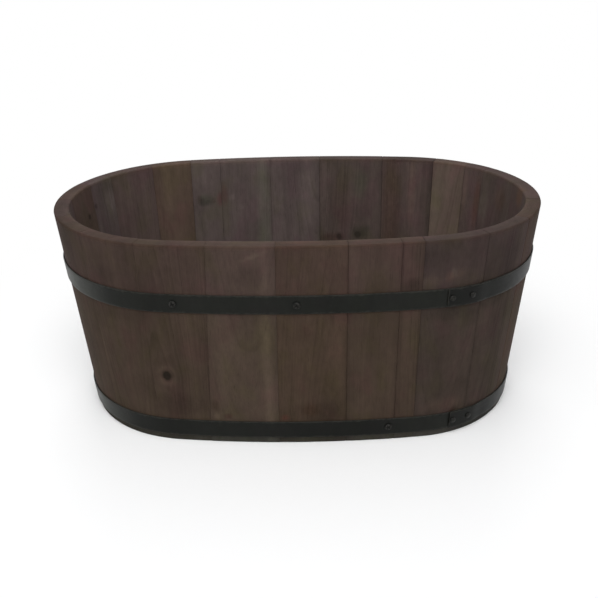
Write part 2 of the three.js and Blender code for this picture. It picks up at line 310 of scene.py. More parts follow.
def makeBoardGrain():
    # Rings round a pith, unevenly spaced, then streaks of every width along the board, fine fibres
    # and short pores. Grain is the place in the log in metres, with Z along the fibres. Board is
    # how strong the rings and the streaks are on this board.
    group, w, given, give = newGroup(
        "boardGrain",
        [("Grain", "Vector", (0, 0, 0)), ("Board", "Vector", (1, 1, 0)),
         ("RingSpacing", "Float", 0.0028), ("RingContrast", "Float", 0.12),
         ("StreakContrast", "Float", 0.3), ("FibreContrast", "Float", 0.25)],
        [("Tone", "Float"), ("Height", "Float"), ("Fibre", "Float")])
    f = figureShape
    bent = w.vector("ADD", given["Grain"], w.waver(given["Grain"], f["sway"], f["swayReach"]))
    bent = w.vector("ADD", bent, w.waver(given["Grain"], f["wander"], f["wanderReach"]))
    across = w.split(bent)
    radius = w.vector("LENGTH", w.join(across[0], across[1], 0.0))
    even = w.math("DIVIDE", radius, given["RingSpacing"])
    crowd = w.noise(w.join(even, 0.0, 0.0), (f["crowd"], 1, 1), 2, 0.6)
    phase = w.math("MULTIPLY_ADD", crowd, f["crowdReach"], even)
    within = w.math("FRACT", phase)
    random = w.node("ShaderNodeTexWhiteNoise", {"W": w.math("FLOOR", phase)}, noise_dimensions="1D")
    late = w.math("MULTIPLY", w.ramp(within, *f["lateWood"]), w.ramp(within, f["ringEnd"], 1.0, 1.0, 0.0))
    rings = w.math("MULTIPLY", late, w.math("MULTIPLY_ADD", random.outputs["Value"], 1.1, 0.25))
    fibre = w.noise(given["Grain"], f["fibre"], 2, 0.6)
    streak = w.noise(bent, f["streak"], 5, 0.66)
    pore = w.ramp(w.noise(bent, f["pore"], 1, 0.5), *f["poreFrom"])
    strength = w.split(given["Board"])
    ringContrast = w.math("MULTIPLY", given["RingContrast"], strength[0])
    tone = w.math("MULTIPLY", w.math("SUBTRACT", 0.3, rings), ringContrast)
    spread = w.math("MULTIPLY", w.math("SUBTRACT", streak, 0.5), given["StreakContrast"])
    tone = w.math("MULTIPLY_ADD", spread, strength[1], tone)
    tone = w.math("MULTIPLY_ADD", w.math("SUBTRACT", fibre, 0.5), given["FibreContrast"], tone)
    tone = w.math("MULTIPLY_ADD", pore, w.math("MULTIPLY", given["FibreContrast"], -0.8), tone)
    height = w.math("MULTIPLY_ADD", fibre, 0.6, w.math("MULTIPLY", pore, -0.5))
    give(Tone=tone, Height=w.math("MULTIPLY_ADD", rings, 0.5, height), Fibre=fibre)
    return group


knotShape = {
    "ragged": (210, 210, 210),    # how its outline wavers, waves to a metre
    "raggedReach": (0.0026, 0.0026, 0),
    "tall": 0.92,                 # its height is counted short by this, so it stands a little tall
    "ringing": 7500.0,            # radians of its own rings to a metre
    "rim": (-0.45, 0.75),         # how its blur moves the outside and the inside of its rim
    "haloFrom": (0.40, 0.72),
}


def makeKnotFlow():
    # A branch through the board at Centre, a place (along, height). Outside its Radius the fibres
    # part round it like water round a post. Core is 1 inside, with its own rings, and fades out
    # over a rim that widens with Blur. Halo is the pale wood close above and below it.
    group, w, given, give = newGroup(
        "knotFlow",
        [("Grain", "Vector", (0, 0, 0)), ("Place", "Vector", (0, 0, 0)), ("Centre", "Vector", (0, 0, 0)),
         ("Radius", "Float", 0.004), ("Blur", "Float", 0.3)],
        [("Grain", "Vector"), ("Core", "Float"), ("Halo", "Float")])
    k = knotShape
    away = w.vector("SUBTRACT", given["Place"], given["Centre"])
    away = w.vector("ADD", away, w.waver(given["Place"], k["ragged"], k["raggedReach"], 3, 0.55))
    apart = w.split(away)
    low = w.math("MULTIPLY", apart[1], k["tall"])
    span = w.math("MAXIMUM", w.vector("LENGTH", w.join(apart[0], low, 0.0)), 0.0001)
    ratio = w.math("DIVIDE", given["Radius"], span)
    pushed = w.math("MULTIPLY", w.math("MINIMUM", w.math("POWER", ratio, 2.0), 1.0), apart[0])
    log = w.split(given["Grain"])
    flowed = w.join(w.math("SUBTRACT", log[0], pushed), log[1], log[2])
    ring = w.math("SINE", w.math("MULTIPLY", span, k["ringing"]))
    outerRim, innerRim = (w.math("MULTIPLY_ADD", given["Blur"], each, 1.0) for each in k["rim"])
    core = w.math("MULTIPLY", w.ramp(ratio, outerRim, innerRim), w.math("MULTIPLY_ADD", ring, 0.07, 0.90))
    upright = w.math("DIVIDE", w.math("ABSOLUTE", low), span)
    halo = w.math("MULTIPLY", w.ramp(ratio, *k["haloFrom"]), w.math("MULTIPLY_ADD", upright, 0.85, 0.15))
    give(Grain=flowed, Core=core, Halo=halo)
    return group


mottleShape = {
    "hue": (30, 19, 60),          # waves to a metre, taller than wide
    "pink": (1.05, 0.95, 1.02),
    "green": (0.95, 1.0, 0.88),
    "shift": (3.1, 1.7, 0.4),     # so that the depth doesn't follow the hue
    "cloud": (26, 11, 60),
    "fleck": (150, 85, 60),
    "fleckShare": 0.55,
}


def makeStainMottle():
    # Soft patches where the finish went on more pinkly, more greenly or deeper. Place is (along,
    # height, depth).
    group, w, given, give = newGroup(
        "stainMottle",
        [("Color", "Color", (0.05, 0.04, 0.03, 1)), ("Place", "Vector", (0, 0, 0)), ("Hue", "Float", 0.5),
         ("Depth", "Float", 0.12)],
        [("Color", "Color")])
    m = mottleShape
    hue = w.noise(given["Place"], m["hue"], 3, 0.5)
    pink = w.math("MULTIPLY", w.ramp(hue, 0.5, 0.68), given["Hue"])
    green = w.math("MULTIPLY", w.ramp(hue, 0.5, 0.32), given["Hue"])
    tinted = w.tint(green, w.tint(pink, given["Color"], m["pink"]), m["green"])
    shifted = w.vector("ADD", given["Place"], m["shift"])
    cloud = w.math("SUBTRACT", w.noise(shifted, m["cloud"], 4, 0.6), 0.5)
    fleck = w.math("SUBTRACT", w.noise(shifted, m["fleck"], 3, 0.6), 0.5)
    cloud = w.math("MULTIPLY_ADD", fleck, m["fleckShare"], cloud)
    level = w.math("MULTIPLY_ADD", cloud, w.math("MULTIPLY", given["Depth"], 2.0), 1.0)
    give(Color=w.dim(tinted, level))
    return group


def makeWornEdge():
    # A mask along edges, broken up by noise: Edge is 1 on an edge and 0 away from it.
    group, w, given, give = newGroup(
        "wornEdge",
        [("Edge", "Float", 0.0), ("Place", "Vector", (0, 0, 0)), ("Amount", "Float", 0.5),
         ("Grit", "Float", 300.0)],
        [("Mask", "Float")])
    inputs = {0: given["Place"], "Scale": given["Grit"]}
    scaled = w.node("ShaderNodeVectorMath", inputs, operation="SCALE").outputs["Vector"]
    broken = w.noise(scaled, (1, 0.6, 1), 3, 0.6)
    reach = w.math("MULTIPLY_ADD", given["Edge"], given["Amount"], w.math("SUBTRACT", broken, 0.62))
    give(Mask=w.ramp(reach, 0.0, 0.25))
    return group


boardGrain = makeBoardGrain()
knotFlow = makeKnotFlow()
stainMottle = makeStainMottle()
wornEdge = makeWornEdge()
print("shader groups made")

# Staves.
staves = {
    # How wide each stave is at the rim, beside the others.
    "widths": [74, 55, 23, 72, 69, 69, 68, 68, 32, 49, 72, 84,
               66, 67, 39, 57, 69, 43, 64, 64, 63, 74, 75, 71],
    "firstSeam": -0.020,        # along the rim from the front middle
    # Seams that run aslant: the stave that starts there, and how far along its foot lies.
    "drifts": {1: -0.003, 24: -0.012},
    "rimRound": 0.0022,
    "footRound": 0.0015,
    "grooveBottom": 0.0137,
    "grooveTop": 0.0273,
    "grooveDepth": 0.005,
    "grooveStep": 0.0002,       # of height over which the wall steps into the groove
    "cell": 0.0026,             # of the mesh, across; along the stave it is cellTall, through it cellDeep
    "cellTall": 0.00338,
    "cellDeep": 0.004,
    "unevenness": 0.00035,      # how far one stave may lie inside the next
    "jointGap": 0.00004,
    "jointRound": (0.00022, 0.00075),   # on a tight joint's edges, and on an open one's
    "jointShade": 0.0022,       # how far the dirt of a joint reaches
    "ripple": 0.00012,
    # How open each seam is, from 0 to 1; the first is at the start of stave 1.
    "seamOpenness": [0.35, 0.9, 0.8, 0.6, 0.8, 0.4, 0.5, 0.5, 0.6, 0.95, 0.95, 0.8,
                     0.7, 0.3, 0.45, 0.3, 0.4, 0.5, 0.5, 0.45, 0.25, 0.2, 0.15, 0.3],
    "tones": ["russet", "umber", "umber", "dusk", "dusk", "umber", "mauve", "dusk",
              "mauve", "pale", "mauve", "dusk", "ash", "ash", "ash", "russet",
              "mauve", "ash", "umber", "mauve", "umber", "umber", "umber", "pale"],
    # How light each stave is beside its tone. On the staves at the back and ends, seen mostly from inside,
    # the raised values are painted light against the shade inside the tub.
    "lightnessAndInsideLight": [0.96, 1.0, 0.96, 1.0, 1.0, 1.0, 1.0, 1.18, 1.03, 1.2, 0.93, 1.0,
                  1.0, 1.03, 1.10, 1.08, 1.0, 1.05, 1.12, 0.95, 0.92, 0.91, 0.94, 0.93],
}

# The wood's own colours, as a picture would hold them.
woodTones = {
    "umber": (68, 56, 47),
    "russet": (69, 56, 46),
    "pale": (74, 62, 53),
    "dusk": (64, 54, 48),
    "mauve": (70, 58, 52),
    "ash": (72, 62, 57),
}

# Marks in the stain, and a few marks of painted shade, for each face and stave: share across it, then
# height, half width and half height in millimetres, then how much lighter, warmer and greener (below 0,
# pinker) it is, and by how many degrees it is turned. What isn't given is 0.
stainAndShadeMarks = {
    "out": {
        # On staves 4, 5 and 22, the darker marks just below the upper hoop, at 161 to 164 mm, are painted
        # shade under it. On stave 4, the small dark mark at 31 mm is a painted shadow of the lower hoop's
        # lap end.
        1: [(0.46, 45, 10, 8, -0.14, 0.2), (0.5, 41, 34, 16, -0.2), (0.78, 125, 11, 30, 0.13),
            (0.34, 144, 10, 13, -0.11), (0.06, 35, 4.4, 3.6, 0.1, 0.1, -1)],
        2: [(0.7, 4, 42, 16, 0.26), (0.09, 225, 5.5, 30, 0.22), (0.5, 214, 16, 12, 0.08),
            (0.15, 68, 10, 14, -0.11)],
        3: [(0.5, 4, 42, 16, 0.34), (0.5, 198, 12, 9, -0.3)],
        4: [(0, 4, 60, 16, 0.5, 0.1), (0.46, 209.5, 4, 6.2, 0.42, 0, 0.3),
            (0.41, 205, 5, 6, 0.16, 0.2, 0, 20), (0.57, 208, 6, 6, 0.16, 0.1, 0.1),
            (0.16, 229, 16, 13, -0.22), (0.12, 201, 12, 8, 0.2, 0.1, 0.3), (0.7, 230, 25, 18, -0.08),
            (0.56, 162, 36, 10, -0.22, 0, 0.2), (0.55, 42, 28, 9, 0.2, 0.1),
            (0.73, 31, 5, 4, -0.45, 0.2), (0.88, 150, 12, 10, -0.18), (0.74, 66, 20, 12, -0.1)],
        5: [(0.85, 146, 20, 16, -0.16), (0.2, 164, 18, 8, -0.2, 0, 0.2), (0.36, 95, 10, 16, 0.26),
            (0.35, 212, 33, 26, -0.15)],
        21: [(0.5, 222, 30, 30, -0.1)],
        22: [(0.5, 161, 26, 9, -0.12), (0.46, 206, 14, 11, -0.14), (0.8, 68, 26, 18, -0.13)],
        23: [(0.8, 110, 10, 90, -0.13), (0.4, 50, 30, 15, -0.2), (0.3, 125, 8, 14, 0.1),
             (0.45, 233, 12, 10, 0.1)],
        24: [(0.82, 120, 5.4, 150, 0.25, 0, 0.1), (0.12, 90, 6.5, 85, 0.12), (0.28, 105, 9, 40, 0.1),
             (0.7, 237.5, 17, 2.2, 0.3, 0, 0.25, 21), (0.62, 213, 15, 13, -0.16),
             (-0.05, 51, 5, 8, -0.26, 0.1), (-0.04, 35, 2.8, 6, 0.34),
             (0.15, 36, 5, 3.2, -0.3, 0, -0.5)],
    },
    "in": {
        7: [(0.56, 238, 13, 12, 0.08, 0.4, 0.3)],
        8: [(0.86, 205, 9, 25, 0.28, 0, 0.3), (0.37, 220, 12, 15, -0.1, 0.2)],
        9: [(0.87, 215, 4, 30, 0.24, 0.1), (0.15, 205, 6, 30, -0.14, 0.3)],
        10: [(0.82, 210, 10, 60, 0.05, 0, 0.3), (0.48, 222, 6, 35, 0.15), (0.1, 222, 7, 30, -0.17)],
        11: [(0.82, 180, 12, 90, -0.22, 0.2), (0.42, 205, 6, 45, 0.25, 0.1),
             (0.04, 180, 4, 90, -0.14, 0, 0.2)],
        12: [(0.93, 200, 7, 50, 0.3), (0.86, 232, 12, 12, 0.14), (0.65, 190, 14, 40, -0.1, 0.1),
             (0.33, 215, 10, 20, 0.06, 0, 0.8), (0.14, 200, 8, 80, 0.14),
             (0.78, 142.5, 17, 6.2, -0.3, 0.1, -0.3), (0.33, 149.5, 12.5, 8.5, -0.28, 0, 0.5),
             (0.21, 156, 3.4, 4.5, -0.14, 0, 0.3)],
        13: [(0.89, 200, 7, 90, 0.12), (0.63, 195, 7, 40, -0.1), (0.26, 205, 8, 50, 0.12)],
        14: [(0.15, 160, 9.5, 110, 0.19, 0, 0.8), (0.95, 204, 5, 14, -0.2, 0.1, -0.4),
             (0.79, 200, 3.4, 3.4, 0.32), (0.6, 187, 5, 3.4, 0.16)],
        15: [(0.56, 198.5, 10.5, 7.2, -0.24, 0, 0.7, -8), (0.77, 199, 3.4, 6, -0.22, 0.1),
             (0.52, 193.8, 11, 3.6, -0.2, 0, 0.2, -8), (0.64, 203.5, 3.8, 3.6, 0.2, 0, 0.3),
             (0.27, 197, 3.4, 4, -0.2, 0.1), (0.05, 198.5, 4.4, 9, -0.2, 0, -0.9),
             (0.58, 226, 3.5, 10, 0.22)],
        16: [(0.68, 215, 8, 35, 0.22)],
        18: [(0.15, 218, 12, 16, 0.3, 0, 0.2)],
    },
    "rim": {
        11: [(0.55, 247, 26, 8, -0.28)],
        12: [(0.5, 247, 50, 8, 0.1)],
        13: [(0.5, 247, 50, 8, 0.2)],
        14: [(0.5, 247, 50, 8, 0.2)],
        15: [(0.5, 247, 50, 8, 0.2)],
        16: [(0.5, 247, 50, 8, 0.2)],
        20: [(0.5, 247, 30, 8, -0.22)],
    },
}

# Knots: stave, share across it, height, radius, then how blurred its rim is, how dark it is and
# how pale the wood by it.
knots = [
    (23, 0.25, 0.0880, 0.0068, 0.95, 0.95, 0.32),
    (12, 0.68, 0.1438, 0.0044, 1.0, 0.58, 0.0),
    (12, 0.38, 0.1466, 0.0056, 1.0, 0.62, 0.0),
    (18, 0.93, 0.2200, 0.0036, 1.0, 0.45, 0.0),
    (19, 0.27, 0.2120, 0.0036, 1.0, 0.62, 0.05),
    (9, 0.55, 0.060, 0.0032, 0.7, 0.8, 0.2),
    (14, 0.62, 0.092, 0.0050, 0.7, 0.9, 0.3),
    (20, 0.40, 0.128, 0.0042, 0.7, 0.9, 0.3),
    (6, 0.66, 0.104, 0.0030, 0.7, 0.8, 0.3),
]

staveCount = len(staves["widths"])
widths = np.array(staves["widths"]) * perimeter / sum(staves["widths"])
seams = staves["firstSeam"] + np.concatenate([[0], np.cumsum(widths)])


def acrossStave(number, share):
    # The distance along the rim at this share of a stave's width.
    return seams[number - 1] + share * widths[number - 1]


def markStainAndShade(number, along, height, onFace):
    # Each mark is a soft ellipse: exp(-r^4), with r its distance from the middle in half widths.
    total = np.zeros((len(along), 3))
    for face, marks in stainAndShadeMarks.items():
        for mark in marks.get(number, []):
            share, level, halfAcross, halfTall, *effect, turn = (*mark, 0, 0, 0)[:8]
            x, y = 1000 * (along - acrossStave(number, share)), 1000 * height - level
            c, s = math.cos(math.radians(turn)), math.sin(math.radians(turn))
            r = np.hypot((x * c + y * s) / halfAcross, (y * c - x * s) / halfTall)
            total += (np.exp(-r ** 4) * onFace[face])[:, None] * np.array(effect)
    return total


def staveLattice(start, end, roundStart, roundEnd):
    # A box-shaped lattice over along, depth and height, with close points at its edges and groove.
    low, high, step = staves["grooveBottom"], staves["grooveTop"], staves["grooveStep"]
    foot, rim = staves["footRound"], staves["rimRound"]
    across = easedEnds(start, end, roundStart, roundEnd, staves["cell"], fromEdge)
    through = easedEnds(0, wallAcross, rim, rim, staves["cellDeep"], fromCorner)
    up = np.concatenate([
        foot * fromCorner, np.linspace(foot, low - step, 6)[1:], np.linspace(low, high, 5),
        easedEnds(high + step, tub["height"], 0, rim, staves["cellTall"], fromCorner)[len(fromCorner) - 1:],
    ])
    cells, quads = boxLattice(len(across) - 1, len(through) - 1, len(up) - 1)
    return across[cells[:, 0]], through[cells[:, 1]], up[cells[:, 2]], quads


def roundSection(depth, height):
    # Rounds the four long edges of a stave's section: near a corner, a square of points is drawn
    # in to a quarter disc round the corner's centre.
    radius = np.where(height > tub["height"] / 2, staves["rimRound"], staves["footRound"])
    centreDepth = np.clip(depth, radius, wallAcross - radius)
    centreHeight = np.clip(height, radius, tub["height"] - radius)
    d, h = depth - centreDepth, height - centreHeight
    scale = np.maximum(np.abs(d), np.abs(h)) / np.maximum(np.hypot(d, h), 1e-9)
    return centreDepth + d * scale, centreHeight + h * scale


def cutGroove(depth, flatHeight):
    # Where the height is in the groove, the section is squeezed outwards by the groove's depth.
    margin = staves["grooveStep"] / 2
    within = (flatHeight > staves["grooveBottom"] - margin) & (flatHeight < staves["grooveTop"] + margin)
    return np.where(within, depth * (1 - staves["grooveDepth"] / wallAcross), depth)


def pressIn(along, share, height, x):
    # Relief, only ever inwards from both faces: the board's own set, its cupping x^2 and a slow
    # ripple, a product of two sines. The rim's level differs a little from board to board.
    setIn, cupping, phaseA, phaseB = rng.uniform(0, 1, 4)
    ripple = np.sin(70 * along + 9 * phaseA + 11 * height) * np.sin(23 * height + 6 * phaseB)
    pressed = staves["unevenness"] * (0.15 + 0.6 * setIn + 0.25 * cupping * x * x)
    pressed = pressed + staves["ripple"] * (1 + ripple) / 2
    belowRim = staves["unevenness"] * rng.uniform(0.1, 0.8)
    return pressed * (1 - 2 * share), belowRim * smooth(height, 0.2, tub["height"])


def buildStave(number, material):
    # A block lattice, rounded on all its edges, pressed in a little unevenly, and bent onto the wall.
    openness = np.take(staves["seamOpenness"], [number - 1, number], mode="wrap")
    roundStart, roundEnd = np.interp(openness, [0, 1], staves["jointRound"])
    start = seams[number - 1] + staves["jointGap"] / 2
    end = seams[number] - staves["jointGap"] / 2
    along, depth, flatHeight, quads = staveLattice(start, end, roundStart, roundEnd)
    depth, height = roundSection(depth, flatHeight)
    depth = cutGroove(depth, flatHeight)
    share = depth / wallAcross

    # At a joint's edges the whole section draws in.
    toStart, toEnd = along - start, end - along
    inwards = drawnIn(toStart / roundStart, roundStart) + drawnIn(toEnd / roundEnd, roundEnd)
    depth = inwards + depth * (1 - 2 * inwards / wallAcross)
    height = inwards + height * (1 - 2 * inwards / tub["height"])
    fromMiddle = along - (start + end) / 2
    pressed, lowered = pressIn(along, share, height, fromMiddle / ((end - start) / 2))
    depth, height = depth + pressed, height - lowered
    driftStart, driftEnd = (staves["drifts"].get(each, 0) for each in (number, number % staveCount + 1))
    drift = driftStart + (driftEnd - driftStart) * toStart / (end - start)
    aslant = along + drift * (1 - height / tub["height"])

    pithDepth = rng.choice([-1, 1]) * rng.uniform(0.018, 0.09)
    pithAside, pithSlope = rng.normal(0, 0.028), rng.normal(0, 0.05)
    ringStrength, streakStrength = rng.uniform(0.25, 1.5), rng.uniform(0.6, 1.4)
    board = [ringStrength, streakStrength, staves["lightnessAndInsideLight"][number - 1]]
    rimEdge = smooth(height, tub["height"] - 0.006, tub["height"] - 0.001)
    onFace = {"out": 1 - smooth(share, 0.1, 0.5), "in": smooth(share, 0.5, 0.9), "rim": rimEdge}
    dirt = [np.exp(-(distance / staves["jointShade"]) ** 2) for distance in (toStart, toEnd)]
    joint = openness[0] * dirt[0] + openness[1] * dirt[1]
    attributes = {
        "grain": np.stack([fromMiddle + pithAside, depth + pithDepth + pithSlope * height,
                           height + 0.61 * number], -1),
        "place": np.stack([aslant, height, depth], -1),
        "rim": rimEdge,
        "joint": np.clip(joint, 0, 1),
        "inside": onFace["in"],
        "board": np.tile(board, (len(along), 1)),
        # The marks hold real stain, and painted shade below the upper hoop and by the lower hoop's lap.
        "stain": markStainAndShade(number, aslant, height, onFace),
    }
    points = onWall(aslant, depth, height)
    piece = makePiece(f"planterStave{number:02d}", points, [quads], material, attributes)
    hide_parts(f"stave_{number:02d}")


stain = {
    "ringSpacing": 0.0030,
    "ringContrast": 0.11,
    "streakContrast": 0.78,
    "fibreContrast": 0.26,
    "mottleHue": 1.0,
    "mottleDepth": 0.34,
    "upperTint": (0.99, 0.96, 1.07),    # above the upper hoop the wood is a little pinker
    "upperFrom": (0.150, 0.200),
    "insideTintAndLight": (1.15, 1.17, 1.27),   # the inner faces are greyer, and painted paler as painted light against the shade inside the tub
    "footShade": (0.68, 0.92, 1.02),     # painted shade on the feet, below the lower hoop, a little grey-green
    "footFrom": (0.006, 0.013),
    "rimTint": (0.77, 0.73, 0.69),      # the flat top of the rim
    "rimWear": 0.16,
    "jointDirt": 0.16,
    "warmMark": (1.5, 0.95, 0.6),       # what a whole warm, green or pink mark does
    "greenMark": (0.9, 1.06, 0.92),
    "pinkMark": (1.2, 0.84, 0.9),
    "markGrain": (230, 130, 130),       # how a mark's wood is broken up, waves to a metre
    "knotCore": (20, 17, 12),
    "sheen": 0.09,
}


def addKnots(w, tone, grain, place):
    # Runs the grain past each knot in the staves of this tone. Gives it with the knots' masks.
    core, halo = 0.0, 0.0
    for stave, share, height, radius, blur, dark, pale in knots:
        if staves["tones"][stave - 1] != tone:
            continue
        centre = (acrossStave(stave, share), height, 0)
        flow = w.group(knotFlow, Grain=grain, Place=w.vector("MULTIPLY", place, (1, 1, 0)), Centre=centre,
                       Radius=radius, Blur=blur)
        grain = flow["Grain"]
        core = w.math("MAXIMUM", core, w.math("MULTIPLY", flow["Core"], dark))
        halo = w.math("MAXIMUM", halo, w.math("MULTIPLY", flow["Halo"], pale))
    return grain, core, halo


def makeStaveWood(tone):
    # Stained softwood: the tone's colour, varied by grain, stain patches, marks, knots and wear.
    material, w, shader = newMaterial("staveWood" + tone.capitalize())
    place = w.attribute("place")["Vector"]
    grain, core, halo = addKnots(w, tone, w.attribute("grain")["Vector"], place)
    board = w.attribute("board")["Vector"]
    figure = w.group(boardGrain, Grain=grain, Board=board, RingSpacing=stain["ringSpacing"],
                     RingContrast=stain["ringContrast"], StreakContrast=stain["streakContrast"],
                     FibreContrast=stain["fibreContrast"])
    base = w.group(stainMottle, Color=colour(*woodTones[tone]), Place=place, Hue=stain["mottleHue"],
                   Depth=stain["mottleDepth"])["Color"]
    inside = w.attribute("inside")["Fac"]
    outside = w.math("SUBTRACT", 1.0, inside)
    height = w.split(place)[1]
    base = w.tint(w.math("MULTIPLY", w.ramp(height, *stain["upperFrom"]), outside), base, stain["upperTint"])
    # The inner faces are made greyer and paler. The paleness is painted light, standing in for light inside
    # the tub.
    base = w.tint(inside, base, stain["insideTintAndLight"])
    # Painted shade on the outer face below the lower hoop.
    foot = w.math("MULTIPLY", w.ramp(height, *stain["footFrom"], 1.0, 0.0), outside)
    base = w.tint(foot, base, stain["footShade"])
    rim = w.attribute("rim")["Fac"]
    base = w.tint(rim, base, stain["rimTint"])
    # The marks: real stain, with painted shade below the upper hoop and by the lower hoop's lap.
    lighter, warmer, greener = w.split(w.attribute("stain")["Vector"])
    base = w.tint(warmer, base, stain["warmMark"])
    base = w.tint(greener, base, stain["greenMark"])
    base = w.tint(w.math("MULTIPLY", greener, -1.0), base, stain["pinkMark"])
    broken = w.math("MULTIPLY_ADD", w.noise(place, stain["markGrain"], 4, 0.65), 1.6, 0.20)
    # The board's lightness sets the level, raised as painted light on the staves seen from inside.
    level = w.math("MULTIPLY_ADD", lighter, broken, w.math("ADD", figure["Tone"], w.split(board)[2]))
    worn = w.group(wornEdge, Edge=rim, Place=place, Amount=0.75, Grit=240.0)["Mask"]
    level = w.math("MULTIPLY_ADD", worn, stain["rimWear"], level)
    level = w.math("MULTIPLY_ADD", w.attribute("joint")["Fac"], -stain["jointDirt"], level)
    shade = w.dim(base, w.math("ADD", halo, level))
    rough = w.math("MULTIPLY_ADD", figure["Fibre"], 0.14, 0.76)
    w.feed(shader, {
        "Base Color": w.mix(core, shade, colour(*stain["knotCore"])),
        "Roughness": w.math("MULTIPLY_ADD", worn, 0.04, rough),
        "Specular IOR Level": stain["sheen"],
        "Normal": w.bump(w.math("MULTIPLY_ADD", core, -0.8, figure["Height"]), 0.5, 0.0004),
    })
    return material


staveWood = {tone: makeStaveWood(tone) for tone in woodTones}
for number in range(1, staveCount + 1):
    buildStave(number, staveWood[staves["tones"][number - 1]])
print(f"{staveCount} staves built")

# Hoops.
hoopSizes = {
    "upper": {"bottom": 0.1700, "width": 0.0220, "lapStart": 0.160, "lapRise": 0.0006},
    "lower": {"bottom": 0.0086, "width": 0.0215, "lapStart": 0.179, "lapRise": 0.0003},
}
# How light the paint is along each hoop: distances round the wall, and the share at each. Near the tub's
# left end it is painted lighter as a painted sheen, and from the lap round to the right end darker as
# painted shade that damps the sheen there.
paintShadeAndSheenAlong = {
    "upper": ([0.16, 0.26, 0.36, 0.5, 1.1, 1.19, 1.24, 1.28, 1.35, 1.44, 1.52, 1.58, 1.65],
              [0.56, 0.45, 0.40, 1.0, 1.0, 3.0, 2.3, 0.84, 1.06, 1.20, 0.90, 1.26, 1.15]),
    "lower": ([0.18, 0.26, 0.36, 0.5, 1.1, 1.19, 1.24, 1.29, 1.36, 1.44, 1.50, 1.56, 1.62, 1.70],
              [0.66, 0.46, 0.42, 1.0, 1.0, 2.9, 2.2, 0.70, 0.96, 1.02, 0.70, 0.72, 1.14, 1.20]),
}
strap = {
    "thickness": 0.0015,
    "edgeRound": 0.0005,
    "lapLength": 0.034,
    "lapRamp": 0.022,         # over which the outer end comes down to the wall
    "riseRun": 0.130,         # over which a lap's rise fades out
    "cornerRound": 0.0025,    # of the strap's two ends
    "waver": 0.00006,         # how unevenly it lies on the wall
    "cells": 480,             # of the mesh, round the tub
    "paint": (23, 24, 21),
    "wornPaint": (44, 43, 39),
    "mottleHue": 0.8,
    "mottleDepth": 0.45,
    "sheen": 0.11,
}


def makeStrapPaint():
    # Black satin paint on steel, lighter near the tub's left end as a painted sheen and darker from the lap
    # on as painted shade, with scuffs along the strap and worn edges.
    material, w, shader = newMaterial("strapPaint")
    band = w.attribute("band")["Vector"]
    base = w.group(stainMottle, Color=colour(*strap["paint"]), Place=band, Hue=strap["mottleHue"],
                   Depth=strap["mottleDepth"])["Color"]
    # The light attribute dims or lightens the paint: a painted sheen near the left end, and painted shade
    # from the lap to the right end.
    base = w.dim(base, w.attribute("light")["Fac"])
    scuff = w.ramp(w.noise(band, (60, 900, 1), 3, 0.6), 0.62, 0.8)
    worn = w.group(wornEdge, Edge=w.attribute("edge")["Fac"], Place=band, Amount=0.34, Grit=260.0)["Mask"]
    speck = w.ramp(w.noise(band, (420, 420, 1), 2, 0.5), 0.70, 0.76)
    lighter = w.math("MAXIMUM", w.math("MULTIPLY", worn, 0.7), w.math("MULTIPLY", speck, 0.5))
    lighter = w.math("MAXIMUM", w.math("MULTIPLY", scuff, 0.5), lighter)
    cloudy = w.noise(band, (90, 200, 1), 3, 0.6)
    orangePeel = w.noise(band, (900, 900, 1), 2, 0.6)
    height = w.math("MULTIPLY_ADD", orangePeel, 0.25, w.math("MULTIPLY", scuff, -0.2))
    w.feed(shader, {
        "Base Color": w.mix(lighter, base, colour(*strap["wornPaint"])),
        "Roughness": w.math("MULTIPLY_ADD", cloudy, 0.2, 0.32),
        "Specular IOR Level": strap["sheen"],
        "Normal": w.bump(w.math("MULTIPLY_ADD", cloudy, 0.5, height), 0.22, 0.0003),
    })
    return material


def roundedRectangle(width, height, radius, steps, sideCells):
    # A closed loop of points, anticlockwise from the lower left, with arcs for corners.
    corners = [(radius, radius), (width - radius, radius),
               (width - radius, height - radius), (radius, height - radius)]
    turns = [np.linspace(0, math.pi / 2, steps + 1) + math.pi * (1 + k / 2) for k in range(4)]
    cornerArcs = [np.add(corner, radius * np.column_stack([np.cos(turn), np.sin(turn)]))
                  for corner, turn in zip(corners, turns)]
    loop = []
    for k, arc in enumerate(cornerArcs):
        following = cornerArcs[(k + 1) % 4][0]
        cells = sideCells if k % 2 else 1
        share = np.linspace(0, 1, cells + 1)[1:-1, None]
        loop += [arc, arc[-1] * (1 - share) + following * share]
    return np.concatenate(loop)


